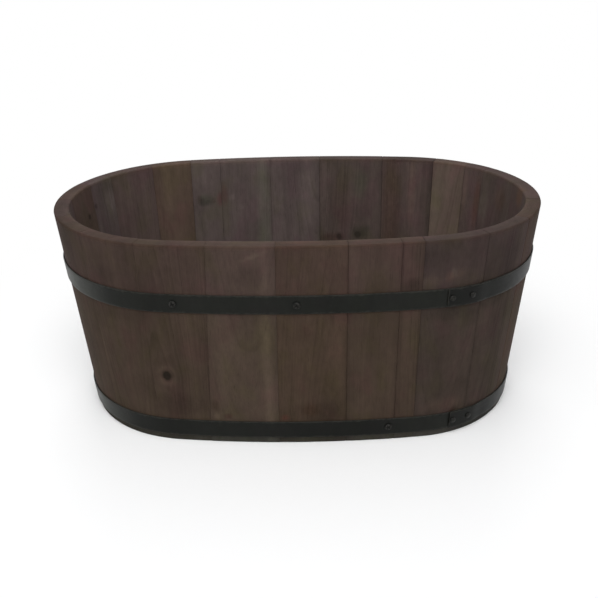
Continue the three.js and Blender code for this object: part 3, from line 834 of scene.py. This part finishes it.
def buildHoop(name, material):
    # A rounded strap section carried round the wall, from the lap's outer end to its inner end.
    # The outer end stands off by a strap's thickness, and comes down past the lap.
    size = hoopSizes[name]
    gap, thick = tub["fitGap"], strap["thickness"]
    finish = perimeter + size["lapStart"] + strap["lapLength"]
    ends = strap["cornerRound"] * (1 - np.cos(np.linspace(0, math.pi / 2, 6)))
    middle = np.linspace(size["lapStart"] + ends[-1], finish - ends[-1], strap["cells"])
    along = np.concatenate([size["lapStart"] + ends, middle[1:-1], finish - ends[::-1]])
    section = roundedRectangle(thick, size["width"], strap["edgeRound"], 3, 8)
    s, inward = np.meshgrid(along, section[:, 0] - thick, indexing="ij")
    level = np.tile(section[:, 1] - size["width"] / 2, (len(along), 1))

    past = s - size["lapStart"]
    rampStart = strap["lapLength"] + gap
    onRamp = 1 - smooth(past, rampStart, rampStart + strap["lapRamp"])
    rise = size["lapRise"] * np.clip(1 - past / strap["riseRun"], 0, 1)
    toEnd = np.minimum(past, finish - s)
    level = level * (1 - 2 * drawnIn(toEnd / strap["cornerRound"], strap["cornerRound"]) / size["width"])
    height = size["bottom"] + size["width"] / 2 + rise + level
    waver = strap["waver"] * (np.sin(s * 41) + np.sin(s * 97 + 2))
    standOff = gap * 0.6 + (thick + gap * 0.4) * onRamp + waver
    points = onWall(s, (inward - standOff) / math.cos(lean), height)

    number = np.arange(s.size).reshape(s.shape)
    faces = [gridQuads(number, closed=True)[:, turnedOver], number[:1, ::-1], number[-1:]]
    edge = smooth(np.abs(level), size["width"] / 2 - 0.0016, size["width"] / 2 - 0.0003)
    edge = np.maximum(edge, 1 - smooth(toEnd, 0.0004, 0.0022))
    attributes = {
        "band": np.stack([s, level, inward], -1).reshape(-1, 3),
        "edge": edge.ravel(),
        # The paint's lightness along the strap, holding its painted sheen and painted shade.
        "light": np.interp(s, *paintShadeAndSheenAlong[name]).ravel(),
    }
    piece = makePiece(f"planterHoop{name.capitalize()}", points.reshape(-1, 3), faces, material,
                      attributes)
    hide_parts(f"hoop_{name}")


strapPaint = makeStrapPaint()
for name in hoopSizes:
    buildHoop(name, strapPaint)
print("hoops built")

# Screws and rivets.
fasteners = {
    # The stave each screw is in, and how far across the stave.
    "upperScrews": {1: 0.28, 7: 0.5, 9: 0.5, 11: 0.5, 13: 0.35, 15: 0.5, 17: 0.5, 19: 0.5, 23: 0.48},
    "lowerScrews": {2: 0.88, 7: 0.5, 10: 0.5, 13: 0.35, 16: 0.5, 19: 0.5},
    "screwHead": 0.0084,
    "screwHeadHeight": 0.0022,
    "screwLength": 0.014,
    "rivetHead": 0.0068,
    "rivetHeadHeight": 0.0018,
    "rivetLength": 0.0036,
    "shank": 0.0035,
    "crossArm": 0.0021,       # from the middle of a screw's cross to the end of an arm
    "crossWidth": 0.0014,
    "crossDepth": 0.0014,
    "crossTaper": 0.55,       # how much of its depth is lost by the end of an arm
    "crown": 0.26,            # how much of a head's height its dome takes
    "rivetEndDistance": 0.005,
    "screwGap": 0.0003,       # between a head and the strap
    "rivetGap": 0.0005,
    "finish": (24, 24, 22),
    "rubbed": (62, 60, 56),
    "recessShade": (12, 12, 11),   # painted shade in the cross and under the head's edge
    "sheen": 0.14,
}
# Shares of a head's half width: where the shank's tip ends, where the shank meets the head's
# seat, and where the dome turns down to its edge. Then where square rings of points begin to turn
# round and are round, and how far out the dome reaches before its edge.
tipShare, seatShare, domeShare = 0.3, 0.62, 0.78
turnsRound = (0.35, 0.75)
domeReach = 0.8


def fastenerMesh(headWidth, headHeight, length, crossDepth):
    # Two square sheets of points, joined at their rims. Each square is drawn out to a disc: the
    # upper one is a domed head with a tapering cross cut into it, the lower one its seat and shank.
    radius, shank = headWidth / 2, fasteners["shank"] / 2
    arm, half = fasteners["crossArm"] / radius, fasteners["crossWidth"] / 2 / radius
    line = np.array([0, half * 0.6, half * 0.94, half * 1.06, tipShare, arm * 0.94, arm * 1.04,
                     seatShare, 0.72, domeShare, 0.84, 0.89, 0.93, 0.965, 0.985, 1])
    line = np.concatenate([-line[:0:-1], line])
    x, y = np.meshgrid(line, line, indexing="ij")
    square, disc = np.maximum(np.abs(x), np.abs(y)), np.maximum(np.hypot(x, y), 1e-9)
    draw = 1 + (square / disc - 1) * smooth(square, *turnsRound)
    flat = np.clip(square / domeShare, 0, 1)
    side = np.clip((square - domeShare) / (1 - domeShare), 0, 1) * math.pi / 2
    outTo = (domeReach * flat + (1 - domeReach) * np.sin(side)) / np.maximum(square, 1e-9)
    crown = fasteners["crown"]
    top = headHeight * np.where(side > 0, (1 - crown) * np.cos(side), 1 - crown * flat ** 2)
    inCross = ((np.abs(x) < half) & (np.abs(y) < arm)) | ((np.abs(y) < half) & (np.abs(x) < arm))
    top = top - np.where(inCross, crossDepth * (1 - fasteners["crossTaper"] * disc / arm), 0)
    upper = np.stack([x * draw * outTo * radius, y * draw * outTo * radius, top], -1)

    stations = [0, tipShare, seatShare, 1]
    ring = np.interp(square, stations, [0, shank, shank, radius])
    below = np.interp(square, stations, [-length, -length + shank, 0, 0])
    lower = np.stack([x / disc * ring, y / disc * ring, below], -1)
    above = np.arange(x.size).reshape(x.shape)
    under = above + x.size
    onRim = square == 1
    upper[onRim], under[onRim] = lower[onRim], above[onRim]

    quads = np.concatenate([gridQuads(above), gridQuads(under)[:, ::-1]])
    points = np.concatenate([upper.reshape(-1, 3), lower.reshape(-1, 3)])
    used, quads = np.unique(quads, return_inverse=True)
    return points[used], quads.reshape(-1, 4)


def makeFastenerSteel():
    # Dark plated steel, with painted shade in its low places, rubbed brighter on its dome.
    material, w, shader = newMaterial("fastenerSteel")
    rubbed = w.ramp(w.noise(w.objectPlace(), (700, 700, 700), 3, 0.6), 0.45, 0.7)
    rise = w.attribute("rise")["Fac"]
    # Painted shade in the cross, under the head and on the shank.
    finish = w.mix(w.ramp(rise, 0.35, 0.62), colour(*fasteners["recessShade"]), colour(*fasteners["finish"]))
    bright = w.math("MULTIPLY", rubbed, w.ramp(rise, 0.5, 0.95))
    w.feed(shader, {
        "Base Color": w.mix(bright, finish, colour(*fasteners["rubbed"])),
        "Roughness": w.math("MULTIPLY_ADD", rubbed, -0.12, 0.5),
        "Metallic": 0.15,
        "Specular IOR Level": fasteners["sheen"],
        "Normal": w.bump(rubbed, 0.3, 0.0002),
    })
    return material


def placeFastener(name, along, height, standOff, shape, rise, turn, material):
    # Stands the shape on the wall: its Z along the wall's normal, turned about it by an angle.
    points, quads = shape
    spot = onWall(np.array([along]), np.array([-standOff / math.cos(lean)]), np.array([height]))[0]
    normal = onOval(np.array([along]))[1][0]
    out = np.array([normal[0] * math.cos(lean), normal[1] * math.cos(lean), -math.sin(lean)])
    sideways = np.array([-normal[1], normal[0], 0])
    upwards = np.cross(out, sideways)
    c, s = math.cos(turn), math.sin(turn)
    axes = np.array([sideways * c + upwards * s, upwards * c - sideways * s, out])
    piece = makePiece(f"planter_{name}", spot + points @ axes, [quads], material,
                      {"rise": rise}, math.radians(50))
    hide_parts(name)


def placeFasteners(material):
    # Screws through the middle line of each hoop, and a rivet near each end of its lap.
    f, thick = fasteners, strap["thickness"]
    screw = fastenerMesh(f["screwHead"], f["screwHeadHeight"], f["screwLength"], f["crossDepth"])
    rivet = fastenerMesh(f["rivetHead"], f["rivetHeadHeight"], f["rivetLength"], 0)
    # Where a head takes the painted shade of its low places, at 0, and is rubbed bright, at 1. The rivets
    # are painted, and vary less.
    screwRise = screw[0][:, 2] / f["screwHeadHeight"]
    rivetRise = 0.5 + 0.3 * rivet[0][:, 2] / f["rivetHeadHeight"]
    for name, size in hoopSizes.items():
        middle = size["bottom"] + size["width"] / 2
        for index, (stave, share) in enumerate(f[name + "Screws"].items(), 1):
            placeFastener(f"{name}_screw_{index:02d}", acrossStave(stave, share), middle,
                          thick + f["screwGap"], screw, screwRise, rng.uniform(0, math.pi / 2), material)
        fromStart = (f["rivetEndDistance"], strap["lapLength"] - f["rivetEndDistance"])
        for index, past in enumerate(fromStart, 1):
            rise = size["lapRise"] * (1 - past / strap["riseRun"])
            placeFastener(f"{name}_rivet_{index}", size["lapStart"] + past, middle + rise / 2,
                          2 * thick + f["rivetGap"], rivet, rivetRise, 0, material)


placeFasteners(makeFastenerSteel())
print("screws and rivets built")

# Base.
base = {
    "height": 0.014,
    "thickness": 0.013,
    "edgeGap": 0.0005,        # from its edge to the back of the groove
    "boards": 4,
    "edgeRound": 0.0010,
    "cell": (0.005, 0.004, 0.004),   # of the mesh: along a board, across it and through it
    "shortenOuter": 0.004,    # how much an outer board's corners are cut short at each end
    "warp": (0.0002, 0.00015),       # of a board along its length, and across its width
    "drainWidth": 0.012,
    "drainSpacing": 0.220,
    "drainSides": 32,
    "drainBreak": 0.0009,     # how far a hole's broken edge reaches into the board
    "tone": (62, 51, 43),
    "mottleHue": 0.6,
    "mottleDepth": 0.2,
    "sheen": 0.09,
}
middleHeight = base["height"] + base["thickness"] / 2
grooveWall = wallAcross - staves["grooveDepth"]
baseInset = (tub["height"] - middleHeight) * math.tan(lean) + grooveWall + base["edgeGap"]


def makeBaseWood():
    # Rough planks, thinly stained.
    material, w, shader = newMaterial("baseWood")
    figure = w.group(boardGrain, Grain=w.attribute("grain")["Vector"], RingSpacing=0.0036, RingContrast=0.22,
                     StreakContrast=0.8, FibreContrast=0.35)
    stained = w.group(stainMottle, Color=colour(*base["tone"]), Place=w.objectPlace(), Hue=base["mottleHue"],
                      Depth=base["mottleDepth"])["Color"]
    w.feed(shader, {
        "Base Color": w.dim(stained, w.math("ADD", figure["Tone"], 1.0)),
        "Roughness": w.math("MULTIPLY_ADD", figure["Fibre"], 0.15, 0.74),
        "Specular IOR Level": base["sheen"],
        "Normal": w.bump(figure["Height"], 0.7, 0.0005),
    })
    return material


def ringPoints(radius, height, sides):
    # A level circle of points round the origin.
    turn = np.linspace(0, 2 * math.pi, sides + 1)[:-1]
    return np.stack([radius * np.cos(turn), radius * np.sin(turn), 0 * turn + height], -1)


def drainPlug(x, y):
    # A round plug that widens at both ends, as a hole with broken edges: a profile turned about Z.
    radius, low, high = base["drainWidth"] / 2, base["height"], base["height"] + base["thickness"]
    inside, outside = base["drainBreak"], base["drainBreak"] - radius / 2
    profile = [(radius * 1.5, low + outside), (radius, low + inside),
               (radius, high - inside), (radius * 1.5, high - outside)]
    points = np.concatenate([ringPoints(r, z, base["drainSides"]) + [x, y, 0] for r, z in profile])
    number = np.arange(len(points)).reshape(len(profile), -1)
    quads = gridQuads(number, closed=True)[:, turnedOver].tolist()
    mesh = bpy.data.meshes.new("drainPlug")
    mesh.from_pydata(points.tolist(), [], quads + [number[0, ::-1].tolist(), number[-1].tolist()])
    return linkObject("drainPlug", mesh)


def baseReach(value, axis):
    # How far the base's outline reaches along one axis, at each place on the other.
    point, normal = onOval(np.linspace(ovalStart, ovalStart + perimeter, 4001))
    outline = point - normal * baseInset
    half = outline[outline[:, axis] >= 0]
    half = half[np.argsort(half[:, 1 - axis])]
    return np.interp(value, half[:, 1 - axis], half[:, axis])


def cutDrains(piece, y):
    # Two holes through an inner board, one near each end.
    for side in (-1, 1):
        plug = drainPlug(side * base["drainSpacing"] / 2, y)
        cut = piece.modifiers.new("drain", "BOOLEAN")
        cut.object, cut.operation, cut.solver = plug, "DIFFERENCE", "EXACT"
        bpy.context.view_layer.update()
        whole = bpy.data.meshes.new_from_object(piece.evaluated_get(bpy.context.evaluated_depsgraph_get()))
        piece.modifiers.clear()
        piece.data = whole
        bpy.data.objects.remove(plug)


def buildBaseBoard(index, material):
    # A box-shaped lattice with rounded edges. An inner board's ends follow the oval, and an outer
    # board's long side does.
    thickness, radius, halfGap = base["thickness"], base["edgeRound"], tub["fitGap"] / 2
    halfDepth = tub["rimWidth"] / 2 - baseInset
    width = 2 * halfDepth / base["boards"]
    front, back = index * width - halfDepth, (index + 1) * width - halfDepth
    outer = index in (0, base["boards"] - 1)
    low, high = front + (index > 0) * halfGap, back - (index < base["boards"] - 1) * halfGap
    inner = high if index == 0 else low
    reach = baseReach(inner, 0) - base["shortenOuter"] if outer else baseReach(0, 0)
    along = easedEnds(-reach, reach, radius, radius, base["cell"][0], fromEdge)
    across = easedEnds(low, high, radius, radius, base["cell"][1], fromEdge)
    through = easedEnds(0, thickness, radius, radius, base["cell"][2], fromCorner)
    cells, quads = boxLattice(len(along) - 1, len(across) - 1, len(through) - 1)
    x, y, z = along[cells[:, 0]], across[cells[:, 1]], through[cells[:, 2]]
    inwards = drawnIn(np.minimum.reduce([x + reach, reach - x, y - low, high - y]) / radius, radius)
    z = inwards + z * (1 - 2 * inwards / thickness)
    lengthwise, crosswise = base["warp"]
    warp = lengthwise * np.sin(9 * x + index) + crosswise * np.cos(2 * math.pi * (y - low) / width)
    z = z - np.abs(warp) * z / thickness
    if outer:
        y = inner + (y - inner) * (baseReach(x, 1) - abs(inner)) / width
    else:
        x = x * baseReach(y, 0) / reach
    points = np.stack([x, y, base["height"] + z], -1)
    piece = makePiece(f"planterBaseBoard{index + 1}", points, [quads], material)
    if not outer:
        cutDrains(piece, (front + back) / 2)
    placed = np.empty(len(piece.data.vertices) * 3, np.float32)
    piece.data.vertices.foreach_get("co", placed)
    px, py, pz = placed.reshape(-1, 3).T
    aside, deep = 0.02 * (index - 1) - (low + high) / 2, 0.03 + 0.01 * index   # of the log's pith
    setAttribute(piece.data, "grain", np.stack([py + aside, pz + deep, px + 0.83 * index], -1))
    piece.data.set_sharp_from_angle(angle=sharpAbove)
    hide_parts(f"base_board_{index + 1}")


baseWood = makeBaseWood()
for index in range(base["boards"]):
    buildBaseBoard(index, baseWood)
print("base built")

# Floor, lights and camera.
studio = {
    "floorRings": (0.3, 0.8, 2.0, 9.0),
    "floorSides": 96,
    "floorSeen": (0.97, 0.97, 0.97, 1),     # the floor's colour as the camera sees it
    "floorBounce": (0.50, 0.50, 0.50, 1),   # and for the light that it throws back
    "whiteFrom": (0.24, 0.62),              # from the middle, over which the floor turns plain white
    "skyColour": (0.97, 0.98, 1.0, 1),
    "skyStrength": 0.30,
}
white = (1, 1, 1, 1)


def seenDirectly(w):
    # 1 for what the camera sees itself, in a mirror or through glass, and 0 for light that spreads.
    path = w.node("ShaderNodeLightPath").outputs
    mirrored = w.math("MAXIMUM", path["Is Glossy Ray"], path["Is Transmission Ray"])
    return w.math("MAXIMUM", path["Is Camera Ray"], mirrored)


def makeFloorMaterial():
    # Pale and matte, with the object's shadow near it. Further out it turns plain white where it
    # is seen directly or mirrored.
    material, w, shader = newMaterial("studioFloor")
    seen = seenDirectly(w)
    shade = w.mix(seen, studio["floorBounce"], studio["floorSeen"])
    w.feed(shader, {"Base Color": shade, "Roughness": 0.9, "Specular IOR Level": 0.1})
    far = w.ramp(w.vector("LENGTH", w.objectPlace()), *studio["whiteFrom"])
    glow = w.node("ShaderNodeEmission", {"Color": white, "Strength": 1.0}).outputs[0]
    both = w.node("ShaderNodeMixShader", {0: w.math("MULTIPLY", seen, far), 1: shader.outputs[0], 2: glow})
    w.feed(w.tree.nodes["Material Output"], {"Surface": both.outputs[0]})
    return material


def buildFloor():
    # A disc of rings round a middle face, with radius growing outwards.
    points = np.concatenate([ringPoints(r, 0, studio["floorSides"]) for r in studio["floorRings"]])
    number = np.arange(len(points)).reshape(-1, studio["floorSides"])
    mesh = bpy.data.meshes.new("studioFloor")
    quads = gridQuads(number, closed=True).tolist()
    mesh.from_pydata(points.tolist(), [], quads + [number[0].tolist()])
    mesh.materials.append(makeFloorMaterial())
    floor = linkObject("studioFloor", mesh)


def makeWorld():
    # Soft light from all round. What looks at it directly, or in a reflection, sees plain white.
    world = bpy.data.worlds.new("studioWorld")
    scene.world = world
    world.use_nodes = True
    w = Wiring(world.node_tree)
    light = w.tree.nodes["Background"]
    w.feed(light, {"Color": studio["skyColour"], "Strength": studio["skyStrength"]})
    glow = w.node("ShaderNodeBackground", {"Color": white, "Strength": 1.0}).outputs[0]
    both = w.node("ShaderNodeMixShader", {0: seenDirectly(w), 1: light.outputs[0], 2: glow})
    w.feed(w.tree.nodes["World Output"], {"Surface": both.outputs[0]})


lamps = {
    # Where each lamp is, how wide and tall it is, its power and its colour. All face the tub.
    "topFront": ((0, -1.5, 2.6), (2.2, 1.6), 39, (1, 1, 1)),
    "front": ((0, -2.4, 1.9), (2.2, 1.4), 36, (1, 1, 1)),
    "left": ((-2.5, -0.5, 1.4), (1.6, 1.6), 15, (1, 1, 1)),
    "right": ((2.5, -0.5, 1.4), (1.6, 1.6), 7, (1, 1, 1)),
    "back": ((0, 2.4, 1.5), (2.2, 1.4), 30, (1, 1, 1)),
}
lampsFace = Vector((0, 0, 0.12))


def hangLamps():
    # A rectangle of light for each lamp, turned to face the tub.
    for name, (place, size, power, tint) in lamps.items():
        light = bpy.data.lights.new(name, "AREA")
        light.shape, light.size, light.size_y = "RECTANGLE", *size
        light.energy, light.color = power, tint
        lamp = linkObject(name, light)
        facing = (Vector(place) - lampsFace).to_track_quat("Z", "Y").to_matrix().to_4x4()
        lamp.matrix_world = Matrix.Translation(place) @ facing


view = {
    "target": (0, 0, 0.124),
    "distance": 1.10783,
    "elevation": math.radians(23.94),
    "yaw": math.radians(1.03),        # to the right of straight ahead
    "roll": math.radians(-1.21),
    "lens": 54.608,                   # mm
    "sensor": 36,                     # mm
    "shift": (0.0006, -0.0120),
    "clip": (0.05, 50),
}


def placeCamera():
    # On a sphere round the target, looking at it, and then rolled.
    elevation, yaw, roll = view["elevation"], view["yaw"], view["roll"]
    level = math.cos(elevation)
    back = Vector((math.sin(yaw) * level, -math.cos(yaw) * level, math.sin(elevation)))
    right = (-back).cross(Vector((0, 0, 1))).normalized()
    up = right.cross(-back)
    tiltedRight = right * math.cos(roll) + up * math.sin(roll)
    tiltedUp = up * math.cos(roll) - right * math.sin(roll)
    data = bpy.data.cameras.new("studioCamera")
    data.lens, data.sensor_width = view["lens"], view["sensor"]
    data.shift_x, data.shift_y = view["shift"]
    data.clip_start, data.clip_end = view["clip"]
    camera = linkObject("studioCamera", data)
    turned = Matrix((tiltedRight, tiltedUp, back)).transposed().to_4x4()
    camera.matrix_world = Matrix.Translation(Vector(view["target"]) + back * view["distance"]) @ turned
    scene.camera = camera


buildFloor()
makeWorld()
hangLamps()
placeCamera()
print("studio set")
